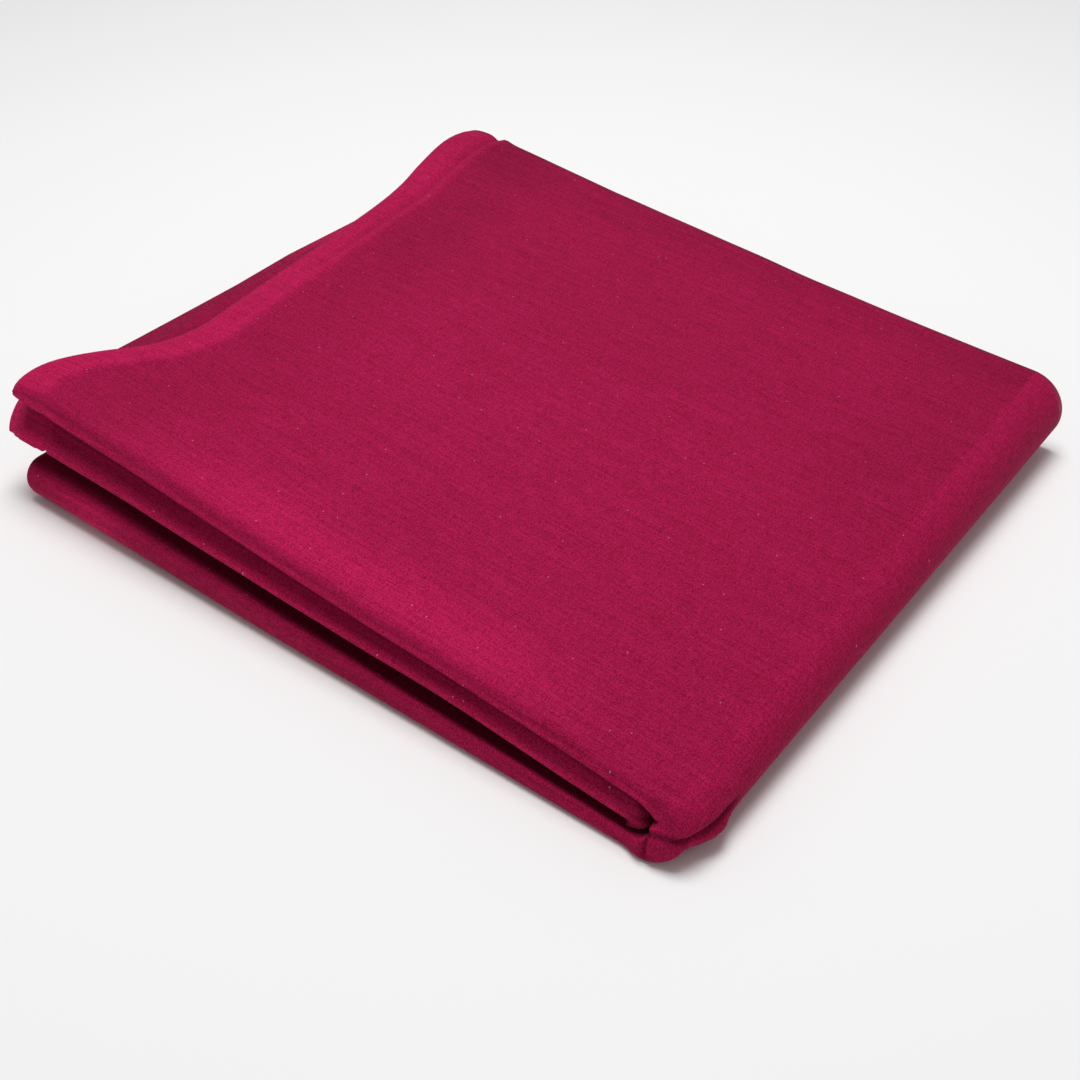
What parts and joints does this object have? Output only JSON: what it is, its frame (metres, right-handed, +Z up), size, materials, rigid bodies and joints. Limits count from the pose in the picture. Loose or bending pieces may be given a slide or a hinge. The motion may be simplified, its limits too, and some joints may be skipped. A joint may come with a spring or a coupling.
{
  "type": "folded turban cloth",
  "caption": "Cotton turban cloth folded into a flat packet with rolled side folds and a rounded spine; lies on a shelf or table.",
  "frame": {"origin": "middle of the flat underside, under the centre of the packet", "axes": "+X from the open end to the spine fold, +Y from the side with the rolled folds to the side with the selvages, +Z up"},
  "size_m": [0.3166, 0.2811, 0.0572],
  "materials": {
    "cotton_voile": "matt plain-woven crimson cotton with a faint slub"
  },
  "bodies": {
    "root": {"turban_cloth": "cotton_voile"}
  },
  "joints": []
}
